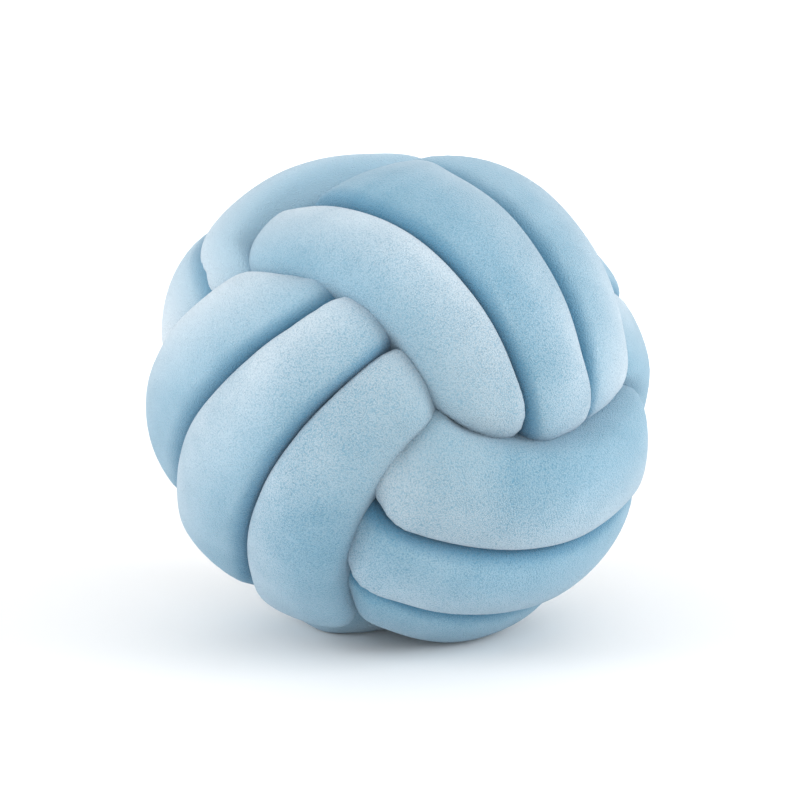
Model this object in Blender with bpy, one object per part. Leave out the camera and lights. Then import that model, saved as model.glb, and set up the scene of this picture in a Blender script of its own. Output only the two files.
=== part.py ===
"""Knot cushion: one long stuffed tube, wound into a ball knot three strands wide.

The tube makes three rings at right angles to each other, each of three turns. Every ring lies over one
of the others and under the third, all the way round, as in a monkey's fist knot. The tube's two ends
are tucked into the middle of the ball. The strands press on each other, so the tube's section changes
along its length, and the ball's own weight presses a small flat spot under it.

Metres, +Z up. The origin is on the surface that the cushion rests on, in the middle of its box.
"""
import math

import bpy
import numpy as np
from mathutils import Vector
from mathutils.bvhtree import BVHTree

# Driving sizes, in metres
BALL_RADIUS = 0.134         # from the centre to the crest of an ordinary strand
FLAT_DEPTH = 0.006          # how much of the ball the flat spot takes away
STRAND_GAP = 0.0008         # clear space left between strands that touch

# How the ball lies on the surface: the knot's own axes turned about X, then Y, then Z, in degrees
KNOT_TURN = (-160.0, -51.0, -63.0)

# The knot, in parts of the ball's radius
OVER = 0.735                # centre line of a strand on the outside of the ball
UNDER = 0.40                # centre line of a strand in the middle of the ball
UNDER_PITCH = 0.23          # from strand to strand in the middle
TUBE = 0.274                # radius of the tube where nothing presses on it
DIVE_SWELL = 0.60           # how much fuller the tube is where it dives and fills the space it finds
LEVEL_SPARE = 0.012         # how far above the crest of an ordinary strand its level is
SINK = 0.22                 # how far that level sinks towards where the strand goes under
DOME = 0.03                 # how much lower a strand is half a pass from the middle
SLEW_END = 1.2              # half passes from the middle, after which the slew stays as it is
CORE_WIDEST = 0.5           # the run through the middle is straight while its sine is above this

# Angles along a ring, in degrees
ROUTE_STEP = 9.0            # from one point of the route to the next
HALF_PASS = 45.0            # from the middle of a pass to where slew_in, slew_out and the dome are measured
PASS_END = 60.0             # from the middle of a pass to where the dome gets no lower
DIVE_LENGTH = 26.0          # over which a strand goes down from the outside to the middle
SWELL_LEAD = 14.0           # the tube starts to fill its space this long before it goes down
SWELL_LENGTH = 30.0         # over which it does
SINK_LEAD = 12.0            # its level starts to sink this long before it goes down
SINK_LENGTH = 30.0          # over which it sinks
GATHER_LEAD = 8.0           # the strands of a ring start to draw together this long before they go down
GATHER_LENGTH = 44.0        # over which they draw together
LANE_CHANGE = 36.0          # each way from where a turn ends and the next one begins
FIRST_CUT = 45.0            # left off the start of the first ring, where the tube comes out of the core
JOIN_CUT = 36.0             # left off a ring where the tube goes over from one ring to the next

# How hidden stretches of the route make room for each other, in parts of the ball's radius
ROOM = 0.24                 # they push each other this far apart
ROOM_PUSH = 0.20            # share of the shortfall that one round mends
SLACK = 0.30                # how far one round straightens a bend
ROOM_ROUNDS = 120
ROOM_BESIDE = 5             # points of the route beside a point that don't push on it

# How strands share the space between them: a higher claim pushes the neighbour back
CREST_CLAIM = 0.012
PLUMP_CLAIM = 0.20
CREST_END = 20.0            # degrees from the middle of a pass to where its claim starts to fade
CREST_FADE = 30.0           # degrees over which it fades

# How the sections face, and how they meet, in parts of the ball's radius
FACING_SHARE = 0.4          # how much each section turns to face out of the ball
MIDDLE_ZONE = 0.3           # this close to the ball's middle they turn less
CONTACT_REACH = 1.0         # stretches further away than this never touch
SELF_REACH = 0.10           # stretch of tube beside a section that doesn't press on it
SAME_STRAND = 0.9           # stretch of tube that counts as the same strand
LEAST_RADIUS = 0.03
FREE_RADIUS = 9.0           # stands for nothing in the way
UNDERSIDE_START = -0.1      # cosine of the angle from outward, past which a ray counts as underneath
SIDE_START = 0.05           # sine of that angle, past which a ray counts as sideways
SIDE_REACH = 0.198          # how far from its middle the side of an ordinary strand on top is
SIDE_FADE = 0.08            # how much further out it is where the strand has gone under
FITTING_ROUNDS = 2          # how often the strands that go under are fitted to the ones on top
ON_TOP = 0.5                # a stretch that is less hidden than this is on top
STEEPEST = 1e-4             # a ray that goes less than this towards another stretch never meets it
ROOM_SPARE = 1.3            # room beyond this many free radii makes no difference
ROOM_BLUR = 1.0             # sections and points over which the room is evened out
CORE_SLACK = 0.2            # how much thinner the tube is where it is hidden, to leave clear space there

# The solid's fineness
PATH_STEP = 0.045           # from one worked section to the next, in parts of the ball's radius
SIDES = 28                  # points worked around a section
KEEP_SIDE = 2               # one in this many of them is kept
STATIONS = 336              # sections kept along the tube
BEND_WEIGHT = 0.11          # how much closer the kept sections are where the tube bends
BEND_BLUR = 2.0             # sections over which that is evened out
FILL_SHARPNESS = 20.0       # how tightly the tube fills a corner between its neighbours
EDGE_SHARPNESS = 40.0       # how tight it stays there once it is smoothed
SMOOTH_ROUNDS = 2
SMOOTH_ALONG = 0.03         # in parts of the ball's radius
SMOOTH_AROUND = 7.0         # degrees
FACET_GAP = 0.0004          # metres between the flat facets of two strands
EASE_STEP = 0.0005          # metres that a point is drawn in by where facets still touch
EASE_SPREAD = 0.6           # how much of it the points beside take over
EASE_ROUNDS = 60
THINNEST = 0.004            # metres: no point comes closer to its own centre line

# Each ring: the axis it goes round, the axis its strands lie over, the axis they run under, which way
# it turns, the angle it starts at, and its lanes in the order that the tube takes them
RINGS = {
    "A": {"round": 1, "over": 0, "under": 2, "turn": +1, "start": -90.0, "lanes": (-1, 0, 1)},
    "B": {"round": 2, "over": 1, "under": 0, "turn": -1, "start": 90.0, "lanes": (-1, 0, 1)},
    "C": {"round": 0, "over": 2, "under": 1, "turn": -1, "start": 90.0, "lanes": (1, 0, -1)},
}

# Each pass of a strand over a face of the ball, by ring, face and lane. slew_in, slew_mid and slew_out
# are how far it lies off the face's middle, in degrees, 45 degrees before the middle, there, and 45
# degrees after; dive_in and dive_out are where it starts to go down, plump_in and plump_out are how
# full it is there, and lift is how high it rides
PASS_COLUMNS = ("slew_in", "slew_mid", "slew_out", "dive_in", "dive_out", "plump_in", "plump_out", "lift")
PLAIN_PASS = {
    1: (27, 26, 25, 34, 38, 1.00, 1.00, 0.000),
    0: (0, 0, 1, 34, 38, 1.00, 1.00, 0.000),
    -1: (-30, -29, -20, 34, 38, 1.00, 1.00, 0.000),
}
OWN_PASS = {
    ("A", 1, 1): (33, 23.5, 19.5, 47.5, 51, 0.895, 1.00, 0.000),
    ("A", 1, 0): (4, 2, 4.0, 29, 51, 1.00, 1.00, 0.010),
    ("A", 1, -1): (-29.5, -27, -15.5, 33, 48, 1.04, 0.98, 0.003),
    ("B", 1, 1): (28, 22.5, 19.7, 38, 51, 1.01, 1.00, 0.010),
    ("B", 1, 0): (-0.8, -1.3, 6, 36, 51, 1.00, 1.00, 0.020),
    ("B", 1, -1): (-31, -29.7, -13.3, 36, 51, 1.03, 1.02, 0.010),
    ("C", 1, 1): (17, 20.5, 26, 34, 52, 1.04, 1.05, 0.014),
    ("C", 1, 0): (-7.5, -3.5, 1.5, 36, 52, 1.00, 1.00, 0.020),
    ("C", 1, -1): (-31.5, -27.5, -9.5, 36, 50, 1.00, 1.00, 0.000),
    ("C", -1, 1): (25, 24, 20, 38, 42, 1.00, 0.84, 0.060),
    ("C", -1, 0): (-2, 3, 12, 38, 44, 1.00, 1.08, 0.025),
    ("C", -1, -1): (-27, -26, -24, 36, 36, 1.04, 1.04, 0.030),
    ("B", -1, 1): (30, 30, 29, 38, 38, 1.00, 1.00, 0.010),
    ("B", -1, 0): (3, 3, 3, 36, 38, 1.02, 1.02, 0.020),
    ("B", -1, -1): (-24, -24, -21, 36, 38, 1.03, 1.03, 0.010),
}

# What each point of the route holds after its place
ROUTE_COLUMNS = ("plump", "swell", "claim", "hidden", "level", "ring", "lane")

# Where the tube starts and stops, tucked into the core, in parts of the ball's radius
CORE_START = ((-0.12, -0.02, 0.02), (-0.05, -0.10, -0.12))
CORE_STOP = ((-0.12, 0.16, -0.02), (-0.06, 0.08, 0.04))
CORE_PLUMP = 0.7            # how plump it is there

VELOUR = (0.52, 0.72, 0.84, 1.0)
VELOUR_ROUGHNESS = 0.95


def ease(t):
    """Go from 0 to 1 with no kink at either end."""
    t = min(1.0, max(0.0, t))
    return t * t * t * (t * (6.0 * t - 15.0) + 10.0)


def ring_route(name):
    """Return one ring's route, three turns long. Each row is x, y, z, how plump the tube is, how much it
    fills the space it finds, its claim, how hidden it is, its level, its ring and its lane."""
    ring = RINGS[name]
    lanes = ring["lanes"]
    lane_step = lanes[1] - lanes[0]
    rows = []
    for count in range(int(round(3 * 360.0 / ROUTE_STEP)) + 1):
        travelled = count * ROUTE_STEP
        lane = lanes[min(int(travelled // 360), 2)]
        angle = math.radians(ring["start"] + ring["turn"] * travelled)
        outward, sideways = math.cos(angle), math.sin(angle)
        face = 1 if outward >= 0 else -1
        values = OWN_PASS.get((name, face, lane), PLAIN_PASS[lane])
        here = dict(zip(PASS_COLUMNS, values))

        # in the middle of the ball the lane shifts by one strand where a turn ends
        turns_done = round(travelled / 360.0)
        past_turn = travelled - 360.0 * turns_done
        core_lane = lane
        if abs(past_turn) <= LANE_CHANGE:
            before = lanes[0] + lane_step * (turns_done - 1)
            core_lane = before + lane_step * ease((past_turn + LANE_CHANGE) / (2 * LANE_CHANGE))

        # where the strand is on its pass: 0 in the middle of the face, 90 in the middle of the ball
        along = math.degrees(math.atan2(sideways, abs(outward)))
        off = abs(along)
        x = max(-SLEW_END, min(SLEW_END, along / HALF_PASS))
        slope = (here["slew_out"] - here["slew_in"]) / 2
        bow = (here["slew_out"] + here["slew_in"]) / 2 - here["slew_mid"]
        slew = math.radians(here["slew_mid"] + slope * x + bow * x * x)
        dive = here["dive_in"] if along < 0 else here["dive_out"]
        height = 1.0 - ease((off - dive) / DIVE_LENGTH)

        reach = OVER + here["lift"] - DOME * (min(off, PASS_END) / HALF_PASS) ** 2
        lane_over = reach * math.sin(slew)
        radius_over = math.sqrt(reach ** 2 - lane_over ** 2)
        lane_under = core_lane * UNDER_PITCH
        radius_under = UNDER / max(abs(sideways), CORE_WIDEST)
        radius = radius_under + (radius_over - radius_under) * height
        spread = ease(1.0 - (off - dive + GATHER_LEAD) / GATHER_LENGTH)

        point = [0.0, 0.0, 0.0]
        point[ring["over"]] = radius * outward
        point[ring["under"]] = radius * sideways
        point[ring["round"]] = lane_under + (lane_over - lane_under) * spread
        in_share = (1.0 - max(-1.0, min(1.0, x))) / 2
        full = here["plump_out"] + (here["plump_in"] - here["plump_out"]) * in_share
        plump = 1.0 + (full - 1.0) * height
        swell = ease((off - dive + SWELL_LEAD) / SWELL_LENGTH)
        crest = 1.0 - ease((off - CREST_END) / CREST_FADE)
        claim = CREST_CLAIM * crest + PLUMP_CLAIM * (plump - 1.0)
        sunk = SINK * ease((off - dive + SINK_LEAD) / SINK_LENGTH)
        level = reach + TUBE * full + LEVEL_SPARE * (1.0 - swell) - sunk
        rows.append((*point, plump, swell, claim, 1.0 - height, level, ring["over"], lane))
    return rows


def make_room(route):
    """Push the hidden stretches of the route apart, as stuffed strands do when the knot is drawn tight."""
    points = route[:, :3]
    hidden = route[:, 6:7]
    order = np.arange(len(points))
    others = np.abs(order[:, None] - order[None]) > ROOM_BESIDE
    for _ in range(ROOM_ROUNDS):
        offset = points[:, None] - points[None]
        distance = np.linalg.norm(offset, axis=2) + 1e-9
        short = np.maximum(ROOM - distance, 0.0) * others
        push = (offset * (short / distance)[..., None]).sum(axis=1) * ROOM_PUSH
        straighten = np.zeros_like(points)
        straighten[1:-1] = ((points[:-2] + points[2:]) / 2 - points[1:-1]) * SLACK
        points += hidden * (push + straighten)
    return route


def tube_route():
    """Join the three rings and the two tucked ends into the route of the whole tube."""
    first_cut = int(FIRST_CUT / ROUTE_STEP)
    join_cut = int(JOIN_CUT / ROUTE_STEP)
    start = [(*point, CORE_PLUMP, 0.0, 0.0, 1.0, 1.0, RINGS["A"]["over"], 0) for point in CORE_START]
    stop = [(*point, CORE_PLUMP, 0.0, 0.0, 1.0, 1.0, RINGS["C"]["over"], 0) for point in CORE_STOP]
    ring_a = ring_route("A")[first_cut:]
    ring_b = ring_route("B")[join_cut:]
    ring_c = ring_route("C")[join_cut:-join_cut]
    return make_room(np.array(start + ring_a + ring_b + ring_c + stop))


def smooth_curve(points, per_span=6):
    """Run a smooth curve (a uniform cubic B-spline) along the points."""
    first = 2 * points[0] - points[1]
    last = 2 * points[-1] - points[-2]
    padded = np.vstack([first, points, last])
    t = np.arange(per_span) / per_span
    weights = np.stack([(1 - t) ** 3,
                        3 * t ** 3 - 6 * t ** 2 + 4,
                        -3 * t ** 3 + 3 * t ** 2 + 3 * t + 1,
                        t ** 3], axis=1) / 6
    spans = [weights @ padded[i:i + 4] for i in range(len(padded) - 3)]
    end = (padded[-3] + 4 * padded[-2] + padded[-1]) / 6
    return np.vstack(spans + [end])


def even_path(curve, step):
    """Read the curve again at even steps along its length."""
    lengths = np.linalg.norm(np.diff(curve[:, :3], axis=0), axis=1)
    travelled = np.concatenate([[0.0], np.cumsum(lengths)])
    stops = np.linspace(0.0, travelled[-1], int(round(travelled[-1] / step)) + 1)
    columns = [np.interp(stops, travelled, curve[:, k]) for k in range(curve.shape[1])]
    return np.stack(columns, axis=1)


def section_axes(path):
    """Give each section two axes: one facing out of the ball as far as it can, and one across it."""
    forward = np.gradient(path, axis=0)
    forward /= np.linalg.norm(forward, axis=1)[:, None]
    out = np.zeros_like(path)
    carried = path[0]
    for i, (point, ahead) in enumerate(zip(path, forward)):
        carried = carried - ahead * (carried @ ahead)
        carried = carried / np.linalg.norm(carried)
        outward = point - ahead * (point @ ahead)
        distance = np.linalg.norm(outward)
        pull = FACING_SHARE * min(1.0, distance / MIDDLE_ZONE) / max(distance, 1e-6)
        mixed = carried * (1.0 - FACING_SHARE) + outward * pull
        mixed = mixed - ahead * (mixed @ ahead)
        carried = mixed / np.linalg.norm(mixed)
        out[i] = carried
    return out, np.cross(forward, out)


def blur(grid, spread, axis, wraps):
    """Average each value with its neighbours along one axis."""
    reach = int(math.ceil(3 * spread))
    weights = np.exp(-0.5 * (np.arange(-reach, reach + 1) / spread) ** 2)
    weights /= weights.sum()
    margins = [(0, 0)] * grid.ndim
    margins[axis] = (reach, reach)
    padded = np.pad(grid, margins, mode="wrap" if wraps else "edge")
    result = np.zeros_like(grid)
    for i, weight in enumerate(weights):
        result += weight * np.take(padded, np.arange(i, i + grid.shape[axis]), axis=axis)
    return result


def soft_least(a, b, sharpness):
    """Return the smaller of two grids, rounded off where they are nearly equal."""
    return (a ** -sharpness + b ** -sharpness) ** (-1.0 / sharpness)


def ring_partners():
    """For each ring, by the axis it lies over: the ring it rides over, and the one it goes under."""
    over = {ring["over"]: other["over"] for ring in RINGS.values() for other in RINGS.values()
            if other["under"] == ring["over"]}
    return over, {lower: upper for upper, lower in over.items()}


def neighbour_limits(tube, rays):
    """Return how far the tube reaches along each ray before it meets another stretch of itself: one
    beside it, one of the ring that it rides over, and one of the ring that it goes under."""
    path, claim, ring_of = tube["path"], tube["claim"], tube["ring"]
    on_top = tube["hidden"] < ON_TOP
    over, under = ring_partners()
    order = np.arange(len(path))
    limits = [np.full(rays.shape[:2], FREE_RADIUS) for _ in range(3)]
    for i, point in enumerate(path):
        apart = np.abs(order - i) * PATH_STEP
        offset = path - point
        square = (offset ** 2).sum(axis=1)
        near = np.flatnonzero((square < CONTACT_REACH ** 2) & (apart > SELF_REACH))
        claims = np.where(apart[near] < SAME_STRAND, 0.0, claim[i] - claim[near])
        towards = rays[i] @ offset[near].T
        # along a ray, the plane between two stretches is where both are equally far away
        meets = (square[near] + claims) / (2 * np.maximum(towards, STEEPEST))
        meets = np.where(towards > STEEPEST, meets, FREE_RADIUS)
        below = on_top[i] & (ring_of[near] == over[ring_of[i]])
        above = on_top[near] & (ring_of[near] == under[ring_of[i]])
        for limit, these in zip(limits, (~below & ~above, below, above)):
            if these.any():
                limit[i] = meets[:, these].min(axis=1)
    return limits


def own_limits(tube, rays, across, angles):
    """Return how far the tube reaches along each ray by itself: up to its straight outer side where it
    is on top, and up to its own level where it goes down."""
    round_axis = {ring["over"]: ring["round"] for ring in RINGS.values()}
    faces = np.sign([across[i][round_axis[ring]] for i, ring in enumerate(tube["ring"])])
    sideways = np.sin(angles)[None] * (faces * tube["lane"])[:, None]
    side_reach = (SIDE_REACH * tube["plump"] + SIDE_FADE * tube["hidden"])[:, None]
    side_limit = np.where(sideways > SIDE_START, side_reach / np.maximum(sideways, SIDE_START), FREE_RADIUS)
    inward = (tube["path"][:, None] * rays).sum(axis=2)
    spare = tube["level"] ** 2 - (tube["path"] ** 2).sum(axis=1)
    level_limit = np.sqrt(inward ** 2 + spare[:, None]) - inward
    return np.minimum(side_limit, level_limit)


def filled(free, limit):
    """Return how far the sleeve reaches along each ray, with no hard corner where it stops at a limit."""
    limit = np.maximum(limit, LEAST_RADIUS)
    radii = soft_least(free, limit, FILL_SHARPNESS)
    for _ in range(SMOOTH_ROUNDS):
        even = blur(radii, SMOOTH_ALONG / PATH_STEP, 0, False)
        even = blur(even, SMOOTH_AROUND * SIDES / 360.0, 1, True)
        radii = soft_least(even, limit, EDGE_SHARPNESS)
    return np.minimum(radii, limit)


def room_under(tube, rays, radii, free):
    """Return how far each ray goes before it meets the skin of the ring that its strand goes under."""
    under = ring_partners()[1]
    on_top = tube["hidden"] < ON_TOP
    skin = (tube["path"][:, None] + rays * radii[..., None]).reshape(-1, 3).tolist()
    triangles = skin_triangles(len(rays), SIDES)
    roofs = {}
    for ring in under:
        covering = on_top & (tube["ring"] == ring)
        roofs[ring] = BVHTree.FromPolygons(skin, [t for t in triangles if covering[t[0] // SIDES]])
    room = np.full(rays.shape[:2], FREE_RADIUS)
    for i, ring in enumerate(tube["ring"]):
        for side in range(SIDES):
            ray = Vector(rays[i, side])
            place, normal, _face, distance = roofs[under[ring]].ray_cast(tube["path"][i], ray, CONTACT_REACH)
            if place is not None and normal.dot(ray) < 0:
                room[i, side] = distance
    room = np.minimum(room, free * ROOM_SPARE)
    return np.minimum(room, blur(blur(room, ROOM_BLUR, 0, False), ROOM_BLUR, 1, True))


def pressed_radii(tube, rays, across, angles):
    """Return how far the tube reaches along each ray, once all its strands press on each other."""
    fill = DIVE_SWELL * tube["swell"] * (1.0 - tube["hidden"]) - CORE_SLACK * tube["hidden"]
    free = (TUBE * tube["plump"] * (1.0 + fill))[:, None] * np.ones(rays.shape[:2])
    beside, below, above = neighbour_limits(tube, rays)
    # a strand on top is pressed from below on its underside only
    below[:, np.cos(angles) > UNDERSIDE_START] = FREE_RADIUS
    own = np.minimum.reduce([beside, below, own_limits(tube, rays, across, angles)])
    radii = filled(free, np.minimum(own, above))
    for _ in range(FITTING_ROUNDS):
        radii = filled(free, np.minimum(own, room_under(tube, rays, radii, free)))
    return radii


def chosen_stations(path):
    """Pick the sections that the solid keeps, closer together where the tube bends."""
    bend = np.linalg.norm(np.gradient(np.gradient(path, axis=0), axis=0), axis=1) / PATH_STEP ** 2
    density = 1.0 + BEND_WEIGHT * blur(bend, BEND_BLUR, 0, False)
    shares = np.cumsum(density)
    wanted = np.linspace(shares[0], shares[-1], STATIONS)
    return np.unique(np.searchsorted(shares, wanted - 1e-9))


def turn_matrix(degrees):
    """Return the matrix of a turn about X, then Y, then Z."""
    rx, ry, rz = (math.radians(value) for value in degrees)
    about_x = np.array([[1, 0, 0], [0, math.cos(rx), -math.sin(rx)], [0, math.sin(rx), math.cos(rx)]])
    about_y = np.array([[math.cos(ry), 0, math.sin(ry)], [0, 1, 0], [-math.sin(ry), 0, math.cos(ry)]])
    about_z = np.array([[math.cos(rz), -math.sin(rz), 0], [math.sin(rz), math.cos(rz), 0], [0, 0, 1]])
    return about_z @ about_y @ about_x


def skin_triangles(stations, sides):
    """List the triangles between each section and the next."""
    triangles = []
    for station in range(stations - 1):
        for side in range(sides):
            a = station * sides + side
            b = station * sides + (side + 1) % sides
            triangles.append((a, b + sides, a + sides))
            triangles.append((a, b, b + sides))
    return triangles


def ease_apart(centres, outward, radii, triangles):
    """Draw points in towards their own centre line until no facet touches another stretch."""
    drawn = np.zeros_like(radii)
    for _ in range(EASE_ROUNDS):
        eased = np.maximum(radii - drawn, THINNEST)
        points = centres + outward * eased[..., None]
        grown = (points + outward * FACET_GAP / 2).reshape(-1, 3).tolist()
        tree = BVHTree.FromPolygons(grown, triangles)
        touching = set()
        for first, second in tree.overlap(tree):
            corners = set(triangles[first]) | set(triangles[second])
            if len(corners) == 6:
                touching |= corners
        if not touching:
            break
        drawn.reshape(-1)[sorted(touching)] += EASE_STEP
        # the points beside a drawn one follow it, so that the strand stays smooth
        around = (np.roll(drawn, 1, axis=1) + np.roll(drawn, -1, axis=1)) / 2
        beside = drawn.copy()
        beside[1:-1] = (drawn[:-2] + drawn[2:]) / 2
        drawn = np.maximum(drawn, np.maximum(around, beside) * EASE_SPREAD)
    return points.reshape(-1, 3)


def rested(points):
    """Press the flat spot and put the ball in the middle of its box, resting on z = 0."""
    points[:, 2] -= points[:, 2].min() + FLAT_DEPTH
    points[:, 2] = np.maximum(points[:, 2], 0.0)
    middle = (points.max(axis=0) + points.min(axis=0)) / 2
    points[:, :2] -= middle[:2]
    return points


def knotted_tube(name):
    """Make the tube: a loft through sections that change as other strands press on them."""
    rows = even_path(smooth_curve(tube_route()), PATH_STEP)
    path = rows[:, :3]
    tube = {"path": path, **dict(zip(ROUTE_COLUMNS, rows[:, 3:].T))}
    for column in ("ring", "lane"):
        tube[column] = np.round(tube[column]).astype(int)
    out, across = section_axes(path)
    angles = np.arange(SIDES) * 2 * math.pi / SIDES
    rays = out[:, None] * np.cos(angles)[None, :, None] + across[:, None] * np.sin(angles)[None, :, None]
    radii = pressed_radii(tube, rays, across, angles) - STRAND_GAP / BALL_RADIUS / 2
    picked = chosen_stations(path)
    turn = turn_matrix(KNOT_TURN).T
    sides = SIDES // KEEP_SIDE
    centres = (path[picked] @ turn * BALL_RADIUS)[:, None]
    outward = rays[picked][:, ::KEEP_SIDE] @ turn
    kept_radii = radii[picked][:, ::KEEP_SIDE] * BALL_RADIUS
    triangles = skin_triangles(len(picked), sides)
    points = rested(ease_apart(centres, outward, kept_radii, triangles))

    first_cap = tuple(reversed(range(sides)))
    last_cap = tuple(range(len(points) - sides, len(points)))
    mesh = bpy.data.meshes.new(name)
    mesh.from_pydata(points.tolist(), [], triangles + [first_cap, last_cap])
    mesh.shade_smooth()
    return bpy.data.objects.new(name, mesh)


def velour_material():
    """The cover's short-pile cloth, light blue."""
    material = bpy.data.materials.new("light_blue_velour")
    material.use_nodes = True
    surface = material.node_tree.nodes["Principled BSDF"]
    surface.inputs["Base Color"].default_value = VELOUR
    surface.inputs["Roughness"].default_value = VELOUR_ROUGHNESS
    surface.inputs["Metallic"].default_value = 0.0
    return material


def build():
    for old in list(bpy.data.objects):
        bpy.data.objects.remove(old, do_unlink=True)
    collection = bpy.data.collections.new("knot_cushion")
    bpy.context.scene.collection.children.link(collection)
    knot = knotted_tube("knot_tube")
    knot.data.materials.append(velour_material())
    collection.objects.link(knot)


build()
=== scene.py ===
import math

import bpy
import numpy as np
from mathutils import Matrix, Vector, noise
from mathutils.bvhtree import BVHTree


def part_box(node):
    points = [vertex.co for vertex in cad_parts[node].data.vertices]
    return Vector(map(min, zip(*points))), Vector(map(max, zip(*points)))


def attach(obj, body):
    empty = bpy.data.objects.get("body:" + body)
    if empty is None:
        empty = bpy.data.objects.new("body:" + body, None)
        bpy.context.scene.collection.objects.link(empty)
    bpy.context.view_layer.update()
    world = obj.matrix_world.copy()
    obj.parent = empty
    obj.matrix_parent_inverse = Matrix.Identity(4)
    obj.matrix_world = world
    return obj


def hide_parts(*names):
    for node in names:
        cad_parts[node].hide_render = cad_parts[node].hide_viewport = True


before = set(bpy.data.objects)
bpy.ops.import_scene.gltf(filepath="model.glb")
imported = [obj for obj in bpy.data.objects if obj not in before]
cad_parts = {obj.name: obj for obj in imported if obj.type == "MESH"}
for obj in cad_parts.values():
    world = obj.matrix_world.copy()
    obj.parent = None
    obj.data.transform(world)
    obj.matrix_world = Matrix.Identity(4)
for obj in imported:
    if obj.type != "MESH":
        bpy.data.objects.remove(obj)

# The imported solid stays as it came; its box gives the place where the finished cushion is set down.
bpy.ops.object.select_all(action="DESELECT")
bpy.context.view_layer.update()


# ---------------------------------------------------------------------------------------------------
# The knot. One long velour sleeve is stuffed and wound into a ball: three rings at right angles to
# each other, three turns each. Every ring lies over one of the others and under the third, as in a
# monkey's fist. The two ends are tucked into the middle, so no end, seam or label shows.
# Sizes are in parts of the ball's radius, angles in degrees.
# ---------------------------------------------------------------------------------------------------
BALL_RADIUS = 0.134         # metres, from the centre to the crest of an ordinary strand
KNOT_TURN = (-160.0, -51.0, -63.0)   # the knot's own axes turned about X, then Y, then Z

OVER = 0.735                # centre line of a strand on the outside of the ball
UNDER = 0.40                # centre line of a strand in the middle of the ball
UNDER_PITCH = 0.23          # from strand to strand in the middle
TUBE = 0.274                # radius of the tube where nothing presses on it
DIVE_SWELL = 0.60           # how much fuller the tube is where it dives and fills the space it finds
DOME = 0.03                 # how much lower a strand is half a pass from the middle
SLEW_END = 1.2              # half passes from the middle, after which the slew stays as it is
CORE_WIDEST = 0.5           # the run through the middle is straight while its sine is above this
CORE_PLUMP = 0.7            # how plump the tucked ends are

TURNS = 3                   # turns of each ring
ROUTE_STEP = 9.0            # from one point of the route to the next
HALF_PASS = 45.0            # from the middle of a pass to where slew_in, slew_out and the dome are measured
PASS_END = 60.0             # from the middle of a pass to where the dome gets no lower
DIVE_LENGTH = 26.0          # over which a strand goes down from the outside to the middle
SWELL_LEAD = 14.0           # the tube starts to fill its space this long before it goes down
SWELL_LENGTH = 30.0         # over which it does
LEVEL_SPARE = 0.012         # how far above the crest of an ordinary strand its level is
SINK = 0.22                 # how far that level sinks towards where the strand goes under
SINK_LEAD = 12.0            # it starts to sink this long before the tube goes down
SINK_LENGTH = 30.0          # over which it sinks
GATHER_LEAD = 8.0           # the strands of a ring start to draw together this long before they go down
GATHER_LENGTH = 44.0        # over which they draw together
LANE_CHANGE = 36.0          # each way from where a turn ends and the next one begins
FIRST_CUT = 45.0            # left off the start of the first ring, where the tube comes out of the core
JOIN_CUT = 36.0             # left off a ring where the tube goes over from one ring to the next

# each ring: the axis it goes round, the axis its strands lie over, the axis they run under, which way
# it turns, the angle it starts at, and its lanes in the order that the tube takes them
RINGS = {
    "A": {"round": 1, "over": 0, "under": 2, "turn": +1, "start": -90.0, "lanes": (-1, 0, 1)},
    "B": {"round": 2, "over": 1, "under": 0, "turn": -1, "start": 90.0, "lanes": (-1, 0, 1)},
    "C": {"round": 0, "over": 2, "under": 1, "turn": -1, "start": 90.0, "lanes": (1, 0, -1)},
}

# each pass of a strand over a face of the ball, by ring, face and lane. slew_in, slew_mid and slew_out
# are how far it lies off the face's middle, 45 degrees before the middle, there, and 45 degrees after;
# dive_in and dive_out are where it starts to go down, plump_in and plump_out are how full it is there,
# and lift is how high it rides
PASS_COLUMNS = ("slew_in", "slew_mid", "slew_out", "dive_in", "dive_out", "plump_in", "plump_out", "lift")
PLAIN_PASS = {
    1: (27, 26, 25, 34, 38, 1.00, 1.00, 0.000),
    0: (0, 0, 1, 34, 38, 1.00, 1.00, 0.000),
    -1: (-30, -29, -20, 34, 38, 1.00, 1.00, 0.000),
}
OWN_PASS = {
    ("A", 1, 1): (33, 23.5, 19.5, 47.5, 51, 0.895, 1.00, 0.000),
    ("A", 1, 0): (4, 2, 4.0, 29, 51, 1.00, 1.00, 0.010),
    ("A", 1, -1): (-29.5, -27, -15.5, 33, 48, 1.04, 0.98, 0.003),
    ("B", 1, 1): (28, 22.5, 19.7, 38, 51, 1.01, 1.00, 0.010),
    ("B", 1, 0): (-0.8, -1.3, 6, 36, 51, 1.00, 1.00, 0.020),
    ("B", 1, -1): (-31, -29.7, -13.3, 36, 51, 1.03, 1.02, 0.010),
    ("C", 1, 1): (17, 20.5, 26, 34, 52, 1.04, 1.05, 0.014),
    ("C", 1, 0): (-7.5, -3.5, 1.5, 36, 52, 1.00, 1.00, 0.020),
    ("C", 1, -1): (-31.5, -27.5, -9.5, 36, 50, 1.00, 1.00, 0.000),
    ("C", -1, 1): (25, 24, 20, 38, 42, 1.00, 0.84, 0.060),
    ("C", -1, 0): (-2, 3, 12, 38, 44, 1.00, 1.08, 0.025),
    ("C", -1, -1): (-27, -26, -24, 36, 36, 1.04, 1.04, 0.030),
    ("B", -1, 1): (30, 30, 29, 38, 38, 1.00, 1.00, 0.010),
    ("B", -1, 0): (3, 3, 3, 36, 38, 1.02, 1.02, 0.020),
    ("B", -1, -1): (-24, -24, -21, 36, 38, 1.03, 1.03, 0.010),
}
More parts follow.
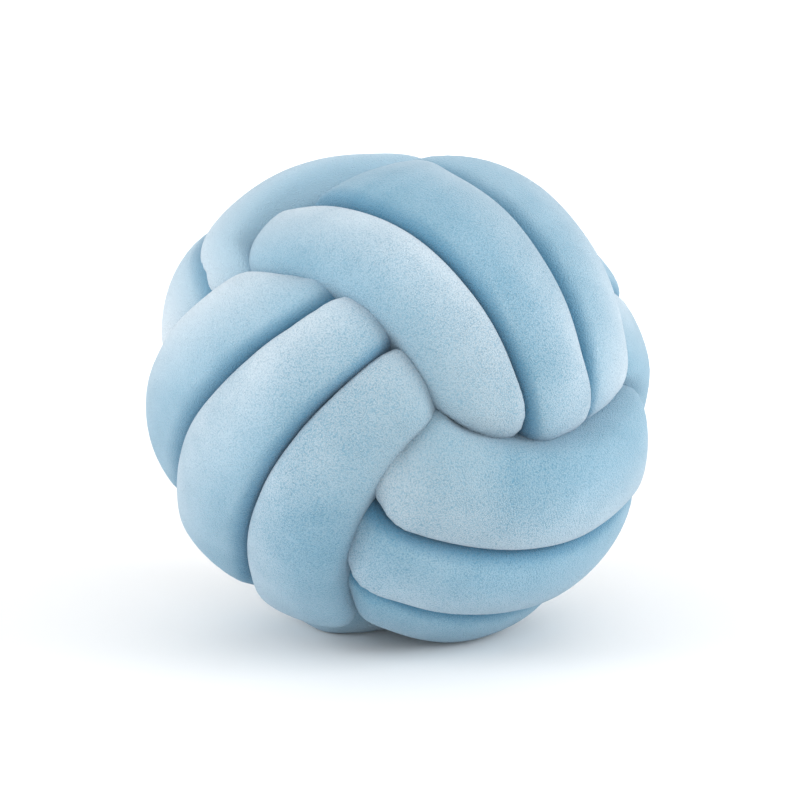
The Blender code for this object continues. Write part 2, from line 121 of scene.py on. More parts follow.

# how pale or deep each pass is painted, 45 degrees before its middle, there, and 45 degrees after: partly
# the pile's own stroked patches and partly painted shade, deepest on the lowest strand; above 0 it lies
# paler, below 0 deeper
NAP_AND_SHADE = {
    ("A", 1, 1): (0.0, 0.4, 0.4),
    ("A", 1, 0): (-0.4, -0.5, 0.1),
    ("A", 1, -1): (0.0, 0.0, 0.3),
    ("B", 1, 1): (-0.1, -0.5, 0.4),
    ("B", 1, 0): (-0.2, -0.1, 0.4),
    ("B", 1, -1): (-0.1, 0.0, 0.4),
    ("C", 1, 1): (0.3, -0.3, -0.1),
    ("C", 1, 0): (0.1, -0.6, -0.2),
    ("C", 1, -1): (-0.6, -1.0, -0.7),
    ("C", -1, 1): (0.7, 0.7, 0.7),
    ("C", -1, 0): (0.5, 0.5, 0.5),
}

# where the tube starts and stops, tucked into the core
CORE_START = ((-0.12, -0.02, 0.02), (-0.05, -0.10, -0.12))
CORE_STOP = ((-0.12, 0.16, -0.02), (-0.06, 0.08, 0.04))

# how strands share the space between them: a higher claim pushes the neighbour back
CREST_CLAIM = 0.012
PLUMP_CLAIM = 0.20
CREST_END = 20.0            # degrees from the middle of a pass to where its claim starts to fade
CREST_FADE = 30.0           # degrees over which it fades


def ease(t):
    """Go from 0 to 1 with no kink at either end."""
    t = min(1.0, max(0.0, t))
    return t * t * t * (t * (6.0 * t - 15.0) + 10.0)


def ring_route(name):
    """Return one ring's route, three turns long. Each row is x, y, z, how plump the tube is, how much it
    fills the space it finds, its claim, how hidden it is, its level, its ring, its lane and its pile's
    nap and painted shade."""
    ring = RINGS[name]
    lanes = ring["lanes"]
    lane_step = lanes[1] - lanes[0]
    rows = []
    for count in range(int(round(TURNS * 360.0 / ROUTE_STEP)) + 1):
        travelled = count * ROUTE_STEP
        lane = lanes[min(int(travelled // 360), TURNS - 1)]
        angle = math.radians(ring["start"] + ring["turn"] * travelled)
        outward, sideways = math.cos(angle), math.sin(angle)
        face = 1 if outward >= 0 else -1
        here = dict(zip(PASS_COLUMNS, OWN_PASS.get((name, face, lane), PLAIN_PASS[lane])))

        # in the middle of the ball the lane shifts by one strand where a turn ends
        turns_done = round(travelled / 360.0)
        past_turn = travelled - 360.0 * turns_done
        core_lane = lane
        if abs(past_turn) <= LANE_CHANGE:
            before = lanes[0] + lane_step * (turns_done - 1)
            core_lane = before + lane_step * ease((past_turn + LANE_CHANGE) / (2 * LANE_CHANGE))

        # where the strand is on its pass: 0 in the middle of the face, 90 in the middle of the ball
        along = math.degrees(math.atan2(sideways, abs(outward)))
        off = abs(along)
        x = max(-SLEW_END, min(SLEW_END, along / HALF_PASS))
        slope = (here["slew_out"] - here["slew_in"]) / 2
        bow = (here["slew_out"] + here["slew_in"]) / 2 - here["slew_mid"]
        slew = math.radians(here["slew_mid"] + slope * x + bow * x * x)
        dive = here["dive_in"] if along < 0 else here["dive_out"]
        height = 1.0 - ease((off - dive) / DIVE_LENGTH)

        reach = OVER + here["lift"] - DOME * (min(off, PASS_END) / HALF_PASS) ** 2
        lane_over = reach * math.sin(slew)
        radius_over = math.sqrt(reach ** 2 - lane_over ** 2)
        lane_under = core_lane * UNDER_PITCH
        radius_under = UNDER / max(abs(sideways), CORE_WIDEST)
        radius = radius_under + (radius_over - radius_under) * height
        spread = ease(1.0 - (off - dive + GATHER_LEAD) / GATHER_LENGTH)

        point = [0.0, 0.0, 0.0]
        point[ring["over"]] = radius * outward
        point[ring["under"]] = radius * sideways
        point[ring["round"]] = lane_under + (lane_over - lane_under) * spread
        in_share = (1.0 - max(-1.0, min(1.0, x))) / 2
        full = here["plump_out"] + (here["plump_in"] - here["plump_out"]) * in_share
        plump = 1.0 + (full - 1.0) * height
        swell = ease((off - dive + SWELL_LEAD) / SWELL_LENGTH)
        crest = 1.0 - ease((off - CREST_END) / CREST_FADE)
        claim = CREST_CLAIM * crest + PLUMP_CLAIM * (plump - 1.0)
        sunk = SINK * ease((off - dive + SINK_LEAD) / SINK_LENGTH)
        level = reach + TUBE * full + LEVEL_SPARE * (1.0 - swell) - sunk

        # the nap and painted shade of this pass: partly the pile's own patches, partly painted shade
        nap_shade_in, nap_shade_mid, nap_shade_out = NAP_AND_SHADE.get((name, face, lane), (0.0, 0.0, 0.0))
        nap_shade = nap_shade_mid + ((nap_shade_out if x > 0 else nap_shade_in) - nap_shade_mid) * abs(x)
        rows.append((*point, plump, swell, claim, 1.0 - height, level, ring["over"], lane, nap_shade))
    return rows


# the three rings joined, with the tucked ends before and after them
route_start = [(*point, CORE_PLUMP, 0.0, 0.0, 1.0, 1.0, RINGS["A"]["over"], 0, 0.0)
               for point in CORE_START]
route_stop = [(*point, CORE_PLUMP, 0.0, 0.0, 1.0, 1.0, RINGS["C"]["over"], 0, 0.0)
              for point in CORE_STOP]
first_cut, join_cut = int(FIRST_CUT / ROUTE_STEP), int(JOIN_CUT / ROUTE_STEP)
route = np.array(route_start + ring_route("A")[first_cut:] + ring_route("B")[join_cut:]
                 + ring_route("C")[join_cut:-join_cut] + route_stop)

# the hidden stretches push each other apart, as they do when the knot is drawn tight
ROOM = 0.24                 # they push each other this far apart
ROOM_PUSH = 0.20            # share of the shortfall that one round mends
SLACK = 0.30                # how far one round straightens a bend
ROOM_ROUNDS = 120
ROOM_BESIDE = 5             # points of the route beside a point that don't push on it
HIDDEN_COLUMN = 6           # where a row of the route says how hidden it is
NO_ROOM = 1e-9              # keeps a distance above zero

places = route[:, :3]
order = np.arange(len(places))
others = np.abs(order[:, None] - order[None]) > ROOM_BESIDE
for _ in range(ROOM_ROUNDS):
    offset = places[:, None] - places[None]
    distance = np.linalg.norm(offset, axis=2) + NO_ROOM
    short = np.maximum(ROOM - distance, 0.0) * others
    push = (offset * (short / distance)[..., None]).sum(axis=1) * ROOM_PUSH
    straighten = np.zeros_like(places)
    straighten[1:-1] = ((places[:-2] + places[2:]) / 2 - places[1:-1]) * SLACK
    places += route[:, HIDDEN_COLUMN, None] * (push + straighten)

# a smooth curve (a uniform cubic B-spline) along the route, read again in short steps, and longer ones
# where the tube is hidden
PATH_STEP = 0.0205          # from one section of the tube to the next
HIDDEN_STEP = 0.050         # and where the tube is hidden
CURVE_FINENESS = 16         # points worked between two points of the route

padded_route = np.vstack([2 * route[0] - route[1], route, 2 * route[-1] - route[-2]])
t = np.arange(CURVE_FINENESS) / CURVE_FINENESS
spline = np.stack([(1 - t) ** 3, 3 * t ** 3 - 6 * t ** 2 + 4,
                   -3 * t ** 3 + 3 * t ** 2 + 3 * t + 1, t ** 3], axis=1) / 6
curve = np.vstack([spline @ padded_route[i:i + 4] for i in range(len(padded_route) - 3)])
lengths = np.linalg.norm(np.diff(curve[:, :3], axis=0), axis=1)
travelled = np.concatenate([[0.0], np.cumsum(lengths)])
step_lengths = PATH_STEP + (HIDDEN_STEP - PATH_STEP) * curve[1:, HIDDEN_COLUMN]
steps_taken = np.cumsum(lengths / step_lengths)
steps_taken = np.concatenate([[0.0], steps_taken])
stops = np.arange(0.0, steps_taken[-1])
readings = np.stack([np.interp(stops, steps_taken, column) for column in curve.T], axis=1)
run = np.interp(stops, steps_taken, travelled)
path, plump, swell, claim, hidden, level = readings[:, :3], *readings[:, 3:8].T
ring_of, lane_of = np.round(readings[:, 8:10]).astype(int).T
# each section's nap and painted shade
nap_shade = readings[:, 10]

# each section faces out of the ball as far as it can, and turns little from one to the next
FACING_SHARE = 0.4          # how much each section turns to face out of the ball
MIDDLE_ZONE = 0.3           # this close to the ball's middle they turn less
AT_THE_MIDDLE = 1e-6        # keeps a distance from the middle above zero

forward = np.gradient(path, axis=0)
forward /= np.linalg.norm(forward, axis=1)[:, None]
facing = np.zeros_like(path)
carried = path[0]
for i, (point, ahead) in enumerate(zip(path, forward)):
    carried = carried - ahead * (carried @ ahead)
    carried = carried / np.linalg.norm(carried)
    outward = point - ahead * (point @ ahead)
    distance = np.linalg.norm(outward)
    pull = FACING_SHARE * min(1.0, distance / MIDDLE_ZONE) / max(distance, AT_THE_MIDDLE)
    carried = carried * (1.0 - FACING_SHARE) + outward * pull
    carried = carried - ahead * (carried @ ahead)
    carried = carried / np.linalg.norm(carried)
    facing[i] = carried
across = np.cross(forward, facing)

# The stuffed sleeve round that line. Where two strands press on each other they meet on a plane
# between them, and the velour rolls over into the crease; elsewhere the tube keeps its round form.
SIDES = 64                  # points round a section
SELF_REACH = 0.10           # stretch of tube beside a section that doesn't press on it
SAME_STRAND = 0.9           # stretch of tube that counts as the same strand
CONTACT_REACH = 1.0         # stretches further away than this never touch
FREE_RADIUS = 9.0           # stands for nothing in the way
LEAST_RADIUS = 0.03         # the thinnest that the tube gets
FILL_SHARPNESS = 20.0       # how tightly the tube fills a corner between its neighbours
EDGE_SHARPNESS = 40.0       # how tight it stays there once it is smoothed
SMOOTH_ALONG = 0.02         # in parts of the ball's radius
SMOOTH_AROUND = 4.0         # degrees
SMOOTH_ROUNDS = 2
UNDERSIDE_START = -0.1      # cosine of the angle from outward, past which a ray counts as underneath
SIDE_START = 0.05           # sine of that angle, past which a ray counts as sideways
SIDE_REACH = 0.198          # how far from its middle the side of an ordinary strand on top is
SIDE_FADE = 0.08            # how much further out it is where the strand has gone under
FITTING_ROUNDS = 2          # how often the strands that go under are fitted to the ones on top
ROOM_SPARE = 1.3            # room beyond this many free radii makes no difference
ROOM_BLUR = 1.5             # sections and points over which the room is evened out
ON_TOP = 0.5                # a stretch that is less hidden than this is on top
STEEPEST = 1e-4             # a ray that goes less than this towards another stretch never meets it
CREASE_OVERLAP = 0.0006     # metres that each strand reaches past its limit, so that no gap shows
LUMP_SIZE = 0.30            # from one soft lump of the stuffing to the next
LUMP_HEIGHT = 0.010         # how far such a lump lifts the velour


def blur(grid, spread, axis, wraps):
    """Average each value with its neighbours along one axis."""
    reach = int(math.ceil(3 * spread))
    weights = np.exp(-0.5 * (np.arange(-reach, reach + 1) / spread) ** 2)
    weights /= weights.sum()
    margins = [(0, 0)] * grid.ndim
    margins[axis] = (reach, reach)
    padded = np.pad(grid, margins, mode="wrap" if wraps else "edge")
    result = np.zeros_like(grid)
    for i, weight in enumerate(weights):
        result += weight * np.take(padded, np.arange(i, i + grid.shape[axis]), axis=axis)
    return result


def soft_least(a, b, sharpness):
    """Return the smaller of two grids, rounded off where they are nearly equal."""
    return (a ** -sharpness + b ** -sharpness) ** (-1.0 / sharpness)


# the first point of a section is on the side that faces the ball's middle, where the map's edge hides
turns = math.pi + np.arange(SIDES) * 2 * math.pi / SIDES
rays = facing[:, None] * np.cos(turns)[None, :, None] + across[:, None] * np.sin(turns)[None, :, None]

# Each ring rides over one of the others, which yields to it, and goes under the third, to which it
# yields. A strand on top keeps its side straight; the strands that go under it fill what it leaves.
rides_over = {ring["over"]: other["over"] for ring in RINGS.values() for other in RINGS.values()
              if other["under"] == ring["over"]}
goes_under = {lower: upper for upper, lower in rides_over.items()}
round_axis = {ring["over"]: ring["round"] for ring in RINGS.values()}
on_top = hidden < ON_TOP
free = (TUBE * plump * (1.0 + DIVE_SWELL * swell))[:, None] * np.ones(rays.shape[:2])
beside_limit, below_limit, above_limit = (np.full(rays.shape[:2], FREE_RADIUS) for _ in range(3))
for i, point in enumerate(path):
    apart = np.abs(run - run[i])
    offset = path - point
    square = (offset ** 2).sum(axis=1)
    near = np.flatnonzero((square < CONTACT_REACH ** 2) & (apart > SELF_REACH))
    claims = np.where(apart[near] < SAME_STRAND, 0.0, claim[i] - claim[near])
    towards = rays[i] @ offset[near].T
    # along a ray, the plane between two stretches is where both are equally far away
    meets = (square[near] + claims) / (2 * np.maximum(towards, STEEPEST))
    meets = np.where(towards > STEEPEST, meets, FREE_RADIUS)
    below = on_top[i] & (ring_of[near] == rides_over[ring_of[i]])
    above = on_top[near] & (ring_of[near] == goes_under[ring_of[i]])
    for limit, these in ((beside_limit, ~below & ~above), (below_limit, below), (above_limit, above)):
        if these.any():
            limit[i] = meets[:, these].min(axis=1)

# a strand on top is pressed from below on its underside only, and its outer side is as good as straight
below_limit[:, np.cos(turns) > UNDERSIDE_START] = FREE_RADIUS
round_side = np.sign([across[i][round_axis[ring]] for i, ring in enumerate(ring_of)])
to_the_side = np.sin(turns)[None] * (round_side * lane_of)[:, None]
side_reach = (SIDE_REACH * plump + SIDE_FADE * hidden)[:, None]
side_limit = side_reach / np.maximum(to_the_side, SIDE_START)
side_limit = np.where(to_the_side > SIDE_START, side_limit, FREE_RADIUS)
# where it goes under another, it is full up to the level it had, so its end stays wide and high
inward = (path[:, None] * rays).sum(axis=2)
level_limit = np.sqrt(inward ** 2 + (level ** 2 - (path ** 2).sum(axis=1))[:, None]) - inward
own_limit = np.minimum.reduce([beside_limit, below_limit, side_limit, level_limit])

# the stuffing lies in soft lumps, so the free radius isn't quite even
crests = path[:, None] + rays * free[..., None]
lumps = np.array([noise.noise(Vector(crest) / LUMP_SIZE) for crest in crests.reshape(-1, 3)])
free = free + LUMP_HEIGHT * lumps.reshape(free.shape)


def filled(limit):
    """Return how far the sleeve reaches along each ray, with no hard corner where it stops at a limit."""
    limit = np.maximum(limit, LEAST_RADIUS)
    radii = soft_least(free, limit, FILL_SHARPNESS)
    for _ in range(SMOOTH_ROUNDS):
        even = blur(radii, SMOOTH_ALONG / PATH_STEP, 0, False)
        even = blur(even, SMOOTH_AROUND * SIDES / 360.0, 1, True)
        radii = soft_least(even, limit, EDGE_SHARPNESS)
    return np.minimum(radii, limit) + CREASE_OVERLAP / BALL_RADIUS


sections = len(path)
quads = [(section * SIDES + side, section * SIDES + (side + 1) % SIDES,
          (section + 1) * SIDES + (side + 1) % SIDES, (section + 1) * SIDES + side)
         for section in range(sections - 1) for side in range(SIDES)]
radii = filled(np.minimum(own_limit, above_limit))
for _ in range(FITTING_ROUNDS):
    skin_points = (path[:, None] + rays * radii[..., None]).reshape(-1, 3).tolist()
    roofs = {}
    for ring in rides_over:
        roof_quads = [quad for quad in quads
                      if ring_of[quad[0] // SIDES] == ring and on_top[quad[0] // SIDES]]
        roofs[ring] = BVHTree.FromPolygons(skin_points, roof_quads)
    room = above_limit.copy()
    for i in range(sections):
        roof = roofs[goes_under[ring_of[i]]]
        start = Vector(path[i])
        for side in range(SIDES):
            ray = Vector(rays[i, side])
            place, normal, _face, distance = roof.ray_cast(start, ray, CONTACT_REACH)
            if place is not None and normal.dot(ray) < 0:
                room[i, side] = distance
            else:
                room[i, side] = FREE_RADIUS
    room = np.minimum(room, free * ROOM_SPARE)
    room = blur(blur(room, ROOM_BLUR, 0, False), ROOM_BLUR, 1, True)
    radii = filled(np.minimum(own_limit, room))

# The knot is turned as it lies, set down in the middle of its place, and its own weight presses a
# small flat spot under it.
FLAT_DEPTH = 0.006          # how much of the ball the flat spot takes away
FLAT_SOFTNESS = 0.001       # how softly the velour comes up off the surface

rx, ry, rz = (math.radians(value) for value in KNOT_TURN)
about_x = np.array([[1, 0, 0], [0, math.cos(rx), -math.sin(rx)], [0, math.sin(rx), math.cos(rx)]])
about_y = np.array([[math.cos(ry), 0, math.sin(ry)], [0, 1, 0], [-math.sin(ry), 0, math.cos(ry)]])
about_z = np.array([[math.cos(rz), -math.sin(rz), 0], [math.sin(rz), math.cos(rz), 0], [0, 0, 1]])
knot_points = path[:, None] + rays * radii[..., None]
points = knot_points.reshape(-1, 3)
points = points @ (about_z @ about_y @ about_x).T * BALL_RADIUS
place_low, place_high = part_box("knot_tube")
ball_centre = Vector((place_low + place_high) / 2)
ball_centre.x -= (points[:, 0].min() + points[:, 0].max()) / 2
ball_centre.y -= (points[:, 1].min() + points[:, 1].max()) / 2
ball_centre.z = place_low.z - points[:, 2].min() - FLAT_DEPTH
points += np.array(ball_centre)
points[:, 2] = (points[:, 2] + np.sqrt(points[:, 2] ** 2 + FLAT_SOFTNESS ** 2)) / 2

# the skin, four points to a face, closed at both hidden ends
first_end = tuple(reversed(range(SIDES)))
last_end = tuple(range(len(points) - SIDES, len(points)))
skin = bpy.data.meshes.new("knot_cushion")
skin.from_pydata(points.tolist(), [], quads + [first_end, last_end])
skin.shade_smooth()
cushion = bpy.data.objects.new("knot_cushion", skin)
bpy.context.scene.collection.objects.link(cushion)

# the sleeve's own map, in metres: along it and round it
round_length = 2 * math.pi * TUBE * BALL_RADIUS
sleeve_map = skin.uv_layers.new(name="sleeve")
along = run[np.array(quads).ravel() // SIDES] * BALL_RADIUS
around = np.tile([0, 1, 1, 0], len(quads)) + np.repeat(np.tile(np.arange(SIDES), sections - 1), 4)
map_values = np.zeros((len(skin.loops), 2))
map_values[:len(along), 0] = along
map_values[:len(along), 1] = around * round_length / SIDES
sleeve_map.data.foreach_set("uv", map_values.ravel())

# Painted sheen and painted shade: each strand is painted pale on one side as painted sheen, and deeper blue
# on
# the other side as painted shade, where the strand rolls over into the crease. What is painted on the skin
# for it:
# the painted crease shade, from 0 to 1, by how deep each point lies in a crease, which side it is on, each
# pass's nap and painted shade, and how near it is to the corner in front where the three rings meet,
# painted greyer as painted shade.
CREASE_SHADE_START = 1.55         # free radii from the strand's middle to its neighbour, where the painted crease shade starts
CREASE_SHADE_FULL = 0.95          # and where it is deepest
END_WIDER = 0.5             # how much sooner it starts where the strand goes under another
ROLL_START = 70.0           # degrees from facing outward, where the velour starts to roll under and the painted crease shade starts
ROLL_END = 95.0             # and where it has

reach_beside = beside_limit / TUBE
crease_shade_start = (CREASE_SHADE_START + END_WIDER * swell)[:, None]
# painted crease shade, from 0 where the crease starts to 1 where it is deepest
crease_shade_depth = np.clip((crease_shade_start - reach_beside) / (crease_shade_start - CREASE_SHADE_FULL), 0.0, 1.0)
# which side of the strand each point is on: painted sheen on one side, painted shade on the other
sheen_shade_side = np.sin(turns)[None] * round_side[:, None]
# where the velour turns sideways and under, it is painted with crease shade too
from_outward = np.degrees(np.arccos(np.cos(turns)))
rolled_shade = np.clip((from_outward - ROLL_START) / (ROLL_END - ROLL_START), 0.0, 1.0)
# painted crease shade on the shaded side of the strand, and wherever the velour turns under
crease_shade_depth = np.maximum(np.where(sheen_shade_side > 0, crease_shade_depth, 0.0), rolled_shade[None])
# how near each point is to the corner in front, which is painted greyer as painted shade
to_corner = (knot_points @ np.ones(3)) / math.sqrt(3) / np.linalg.norm(knot_points, axis=2)
# each pass's nap and painted shade, the same all round a section
nap_shade_map = np.repeat(nap_shade[:, None], SIDES, axis=1)
paints = {"crease_shade": crease_shade_depth, "sheen_shade_side": sheen_shade_side, "nap_shade": nap_shade_map, "faces_front": to_corner}
for name, values in paints.items():
    painted = skin.attributes.new(name, "FLOAT", "POINT")
    painted.data.foreach_set("value", values.ravel())

# Light-blue velour: a short dense pile that catches the light at its edges, paler and deeper in soft
# patches,
# with a fine grain where the tips of the pile part. Painted sheen and painted shade are laid into its
# colour too:
# paler on one side of each strand, deeper blue on the other side and in the creases, greyer towards the
# corner in front, and deeper on the lowest strands.
# painted sheen: the pale side of each strand
SHEEN_PALE_BLUE = (0.600, 0.672, 0.728, 1.0)
SKY_BLUE = (0.300, 0.462, 0.572, 1.0)
# painted shade: greyer where the velour faces the corner in front
FRONT_SHADE_BLUE = (0.300, 0.390, 0.440, 1.0)
# deep blue of the nap patches and grain, and of the painted shade of each pass
DEEP_BLUE = (0.090, 0.250, 0.360, 1.0)
# painted crease shade
CREASE_SHADE_BLUE = (0.050, 0.200, 0.330, 1.0)
SHEEN_TINT = (0.85, 0.92, 1.00, 1.0)
TUFTS_PER_METRE = 1400.0
TUFT_SOFTNESS = 0.6
PATCH_PER_METRE = 14.0
BRUSH_PER_METRE = 70.0
PILE_DEPTH = 0.0005         # metres
ROUGHNESS = 1.0
SPECULAR = 0.1
SHEEN = 0.35
SHEEN_ROUGHNESS = 0.55

# shares of the way from one blue to the next, and the readings between which they change
SHEEN_SIDE_PALEST = -0.95           # the side of the strand painted palest, as painted sheen
SHADE_SIDE_DEEPEST = 0.45            # and where its painted shade alone makes it as deep as it gets
NAP_SHADE_SHIFT = 0.5           # how far a pass's nap and painted shade moves that
NAP_SHADE_DEPTH = 0.45         # and how much paler or deeper it makes the pile
FRONT_SHADE_START = 0.80           # cosine of the angle to the corner in front, where the painted grey shade sets in
FRONT_SHADE_MOST = 0.6
GRAIN_REACH = 0.8           # the grain's reading that counts as the edge of a tuft
GRAIN_DEPTH = 0.42
GRAIN_START = 0.3           # the same cosine, from where the grain grows stronger
GRAIN_FULL = 0.9
GRAIN_LEAST = 0.25          # share of the grain that is left away from the corner
NOISE_LOW = 0.3             # the readings that nearly all of a soft noise lies between
NOISE_HIGH = 0.7
PATCH_DEEPEST = 0.40
PATCH_PALEST = 0.04
BRUSH_DEPTH = 0.06
# how far the painted crease shade goes towards its blue
CREASE_SHADE_MOST = 0.85

velour = bpy.data.materials.new("light_blue_velour")
velour.use_nodes = True
tree = velour.node_tree
cloth = tree.nodes["Principled BSDF"]
cloth.inputs["Roughness"].default_value = ROUGHNESS
cloth.inputs["Specular IOR Level"].default_value = SPECULAR
cloth.inputs["Sheen Weight"].default_value = SHEEN
cloth.inputs["Sheen Roughness"].default_value = SHEEN_ROUGHNESS
cloth.inputs["Sheen Tint"].default_value = SHEEN_TINT
where = tree.nodes.new("ShaderNodeTexCoord").outputs["Object"]


def painted_on(name):
    """What is painted on the skin under this name."""
    reader = tree.nodes.new("ShaderNodeAttribute")
    reader.attribute_name = name
    return reader.outputs["Fac"]


def cloth_noise(scale, detail, distortion):
    """A soft noise pattern with so many patches to a metre."""
    pattern = tree.nodes.new("ShaderNodeTexNoise")
    pattern.inputs["Scale"].default_value = scale
    pattern.inputs["Detail"].default_value = detail
    pattern.inputs["Distortion"].default_value = distortion
    tree.links.new(where, pattern.inputs["Vector"])
    return pattern.outputs["Fac"]


def stretch(value, low, high, out_low, out_high):
    """Stretch a pattern's values from one range to another."""
    node = tree.nodes.new("ShaderNodeMapRange")
    node.inputs["From Min"].default_value = low
    node.inputs["From Max"].default_value = high
    node.inputs["To Min"].default_value = out_low
    node.inputs["To Max"].default_value = out_high
    tree.links.new(value, node.inputs["Value"])
    return node.outputs["Result"]


def added(first, second, operation="ADD"):
    """Add two patterns, or multiply them."""
    node = tree.nodes.new("ShaderNodeMath")
    node.operation = operation
    tree.links.new(first, node.inputs[0])
    tree.links.new(second, node.inputs[1])
    return node.outputs["Value"]


def blended(first, second, share):
    """Blend two colours by a pattern. Each is a colour or the output of another blend."""
    node = tree.nodes.new("ShaderNodeMix")
    node.data_type = "RGBA"
    for name, colour in (("A", first), ("B", second)):
        if isinstance(colour, tuple):
            node.inputs[name].default_value = colour
        else:
            tree.links.new(colour, node.inputs[name])
    tree.links.new(share, node.inputs["Factor"])
    return node.outputs["Result"]


tufts = tree.nodes.new("ShaderNodeTexVoronoi")
tufts.feature = "SMOOTH_F1"
tufts.inputs["Scale"].default_value = TUFTS_PER_METRE
tufts.inputs["Smoothness"].default_value = TUFT_SOFTNESS
tree.links.new(where, tufts.inputs["Vector"])
grain = tufts.outputs["Distance"]
patches = cloth_noise(PATCH_PER_METRE, 2.0, 0.6)
brushing = cloth_noise(BRUSH_PER_METRE, 3.0, 0.3)
# each pass's nap and painted shade, partly the pile's own patches and partly painted shade
nap_shade_paint = painted_on("nap_shade")
# painted sheen on one side of each strand and painted shade on the other, shifted by each pass's nap and
# painted shade
sheen_to_shade = added(painted_on("sheen_shade_side"), stretch(nap_shade_paint, -1.0, 1.0, NAP_SHADE_SHIFT, -NAP_SHADE_SHIFT))
sheen_to_shade = stretch(sheen_to_shade, SHEEN_SIDE_PALEST, SHADE_SIDE_DEEPEST, 0.0, 1.0)
front_facing = painted_on("faces_front")
velour_blue = blended(SHEEN_PALE_BLUE, SKY_BLUE, sheen_to_shade)
# painted grey shade where the velour faces the corner in front
velour_blue = blended(velour_blue, FRONT_SHADE_BLUE, stretch(front_facing, FRONT_SHADE_START, 1.0, 0.0, FRONT_SHADE_MOST))
grain_depth = stretch(grain, 0.0, GRAIN_REACH, -GRAIN_DEPTH, GRAIN_DEPTH)
grain_share = stretch(front_facing, GRAIN_START, GRAIN_FULL, GRAIN_LEAST, 1.0)
parted = added(grain_depth, grain_share, "MULTIPLY")
# deeper blue in the nap patches, brushing and grain, and in the painted shade of each pass
deeper = stretch(patches, NOISE_LOW, NOISE_HIGH, PATCH_DEEPEST, PATCH_PALEST)
deeper = added(deeper, stretch(brushing, NOISE_LOW, NOISE_HIGH, BRUSH_DEPTH, -BRUSH_DEPTH))
deeper = added(added(deeper, parted), stretch(nap_shade_paint, -1.0, 1.0, NAP_SHADE_DEPTH, -NAP_SHADE_DEPTH))
velour_blue = blended(velour_blue, DEEP_BLUE, deeper)
# painted crease shade: deep blue where the strands roll into the creases
crease_shade = painted_on("crease_shade")
velour_blue = blended(velour_blue, CREASE_SHADE_BLUE, stretch(crease_shade, 0.0, 1.0, 0.0, CREASE_SHADE_MOST))
tree.links.new(velour_blue, cloth.inputs["Base Color"])

pile = tree.nodes.new("ShaderNodeBump")
pile.invert = True
pile.inputs["Strength"].default_value = 1.0
pile.inputs["Distance"].default_value = PILE_DEPTH
tree.links.new(grain, pile.inputs["Height"])
tree.links.new(pile.outputs["Normal"], cloth.inputs["Normal"])
skin.materials.append(velour)

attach(cushion, "root")
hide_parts("knot_tube")


# ---------------------------------------------------------------------------------------------------
# The camera stands as it did for the photograph, as near as could be judged: in front of the cushion, a
# little higher than its middle and looking down at it by a few degrees.
# ---------------------------------------------------------------------------------------------------
CAMERA_RISE = 8.0           # degrees above the horizon
CAMERA_AWAY = 1.072         # metres from the ball's centre
VIEW_WIDTH = 0.4305         # metres that the picture takes in there
SENSOR_WIDTH = 36.0         # millimetres
PICTURE_SIDE = 800          # pixels
CENTRE_IN_PICTURE = (402, 399)   # where the ball's centre comes, in pixels from the top left

eye = bpy.data.cameras.new("photo_camera")
eye.sensor_width = SENSOR_WIDTH
eye.lens = eye.sensor_width * CAMERA_AWAY / VIEW_WIDTH
eye.shift_x = (PICTURE_SIDE / 2 - CENTRE_IN_PICTURE[0]) / PICTURE_SIDE
eye.shift_y = (CENTRE_IN_PICTURE[1] - PICTURE_SIDE / 2) / PICTURE_SIDE
camera = bpy.data.objects.new("photo_camera", eye)
bpy.context.scene.collection.objects.link(camera)
rise = math.radians(CAMERA_RISE)
camera.location = ball_centre + CAMERA_AWAY * Vector((0.0, -math.cos(rise), math.sin(rise)))
camera.rotation_euler = (math.pi / 2 - rise, 0.0, 0.0)
bpy.context.scene.camera = camera


# ---------------------------------------------------------------------------------------------------
# The studio: a white paper sweep that runs up behind the cushion, soft lights in front, on the left and
# on the right, one more on the sweep behind it, and white light from all round.
# ---------------------------------------------------------------------------------------------------
SWEEP_WIDTH = 8.0
SWEEP_FRONT = -3.0
SWEEP_BEND = 2.0            # where the floor starts to rise
SWEEP_RADIUS = 1.2
SWEEP_TOP = 4.0
SWEEP_STEPS = 16
PAPER_WHITE = (0.92, 0.92, 0.92, 1.0)
PAPER_ROUGHNESS = 0.9
WHITE = (1.0, 1.0, 1.0, 1.0)
LIGHT_ALL_ROUND = 0.88
CUSHION_MIDDLE = (0.0, 0.0, 0.13)

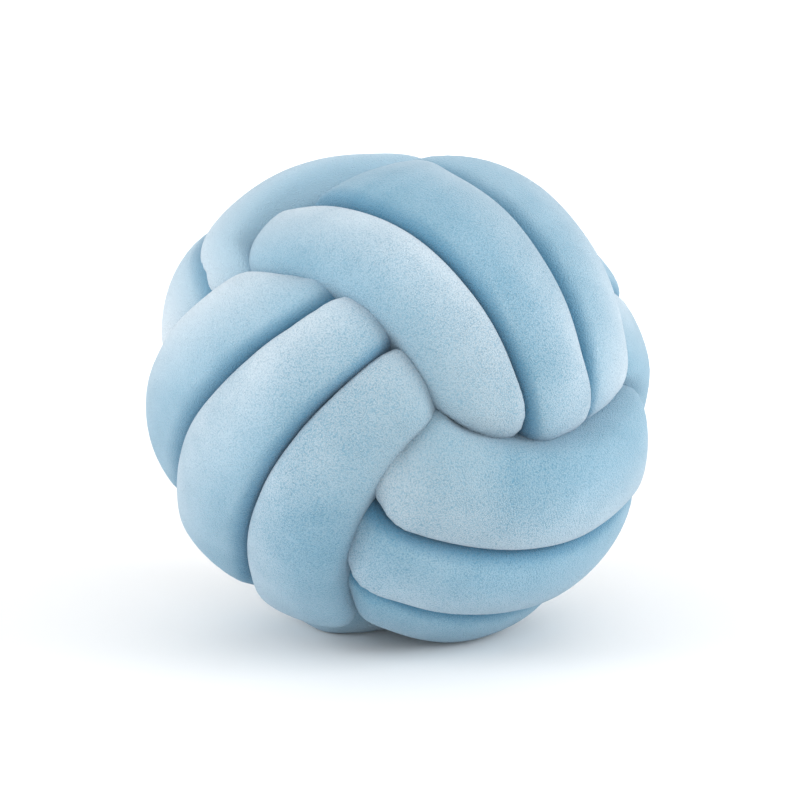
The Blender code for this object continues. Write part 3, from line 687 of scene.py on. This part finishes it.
profile = [(SWEEP_FRONT, 0.0)]
for step in range(SWEEP_STEPS + 1):
    angle = math.pi / 2 * step / SWEEP_STEPS
    profile.append((SWEEP_BEND + SWEEP_RADIUS * math.sin(angle), SWEEP_RADIUS * (1 - math.cos(angle))))
profile.append((SWEEP_BEND + SWEEP_RADIUS, SWEEP_TOP))
sweep_points = [(x, y, z) for y, z in profile for x in (-SWEEP_WIDTH / 2, SWEEP_WIDTH / 2)]
sweep_faces = [(2 * i, 2 * i + 1, 2 * i + 3, 2 * i + 2) for i in range(len(profile) - 1)]
paper_sweep = bpy.data.meshes.new("paper_sweep")
paper_sweep.from_pydata(sweep_points, [], sweep_faces)
paper_sweep.shade_smooth()
floor = bpy.data.objects.new("paper_sweep", paper_sweep)
bpy.context.scene.collection.objects.link(floor)
paper = bpy.data.materials.new("white_paper")
paper.use_nodes = True
paper_surface = paper.node_tree.nodes["Principled BSDF"]
paper_surface.inputs["Base Color"].default_value = PAPER_WHITE
paper_surface.inputs["Roughness"].default_value = PAPER_ROUGHNESS
paper_sweep.materials.append(paper)

world = bpy.data.worlds.new("studio")
world.use_nodes = True
background = world.node_tree.nodes["Background"]
background.inputs["Color"].default_value = WHITE
background.inputs["Strength"].default_value = LIGHT_ALL_ROUND
bpy.context.scene.world = world

# each soft light: where it hangs, how wide it is, and how strong
SOFT_LIGHTS = {
    "front": {"place": (0.1, -2.2, 0.75), "aim": CUSHION_MIDDLE, "width": 1.3, "watts": 9.0},
    "front_left": {"place": (-1.9, -0.7, 1.0), "aim": CUSHION_MIDDLE, "width": 1.2, "watts": 18.0},
    "side_right": {"place": (1.9, -0.5, 0.9), "aim": CUSHION_MIDDLE, "width": 1.2, "watts": 21.0},
    "backdrop": {"place": (0.0, 1.0, 1.6), "aim": (0.0, 3.2, 0.9), "width": 1.6, "watts": 30.0},
}
for name, light in SOFT_LIGHTS.items():
    lamp = bpy.data.lights.new(name, "AREA")
    lamp.shape = "DISK"
    lamp.size = light["width"]
    lamp.energy = light["watts"]
    softbox = bpy.data.objects.new(name, lamp)
    bpy.context.scene.collection.objects.link(softbox)
    softbox.location = light["place"]
    to_aim = Vector(light["aim"]) - softbox.location
    softbox.rotation_euler = to_aim.to_track_quat("-Z", "Y").to_euler()

bpy.context.scene.view_settings.view_transform = "Standard"
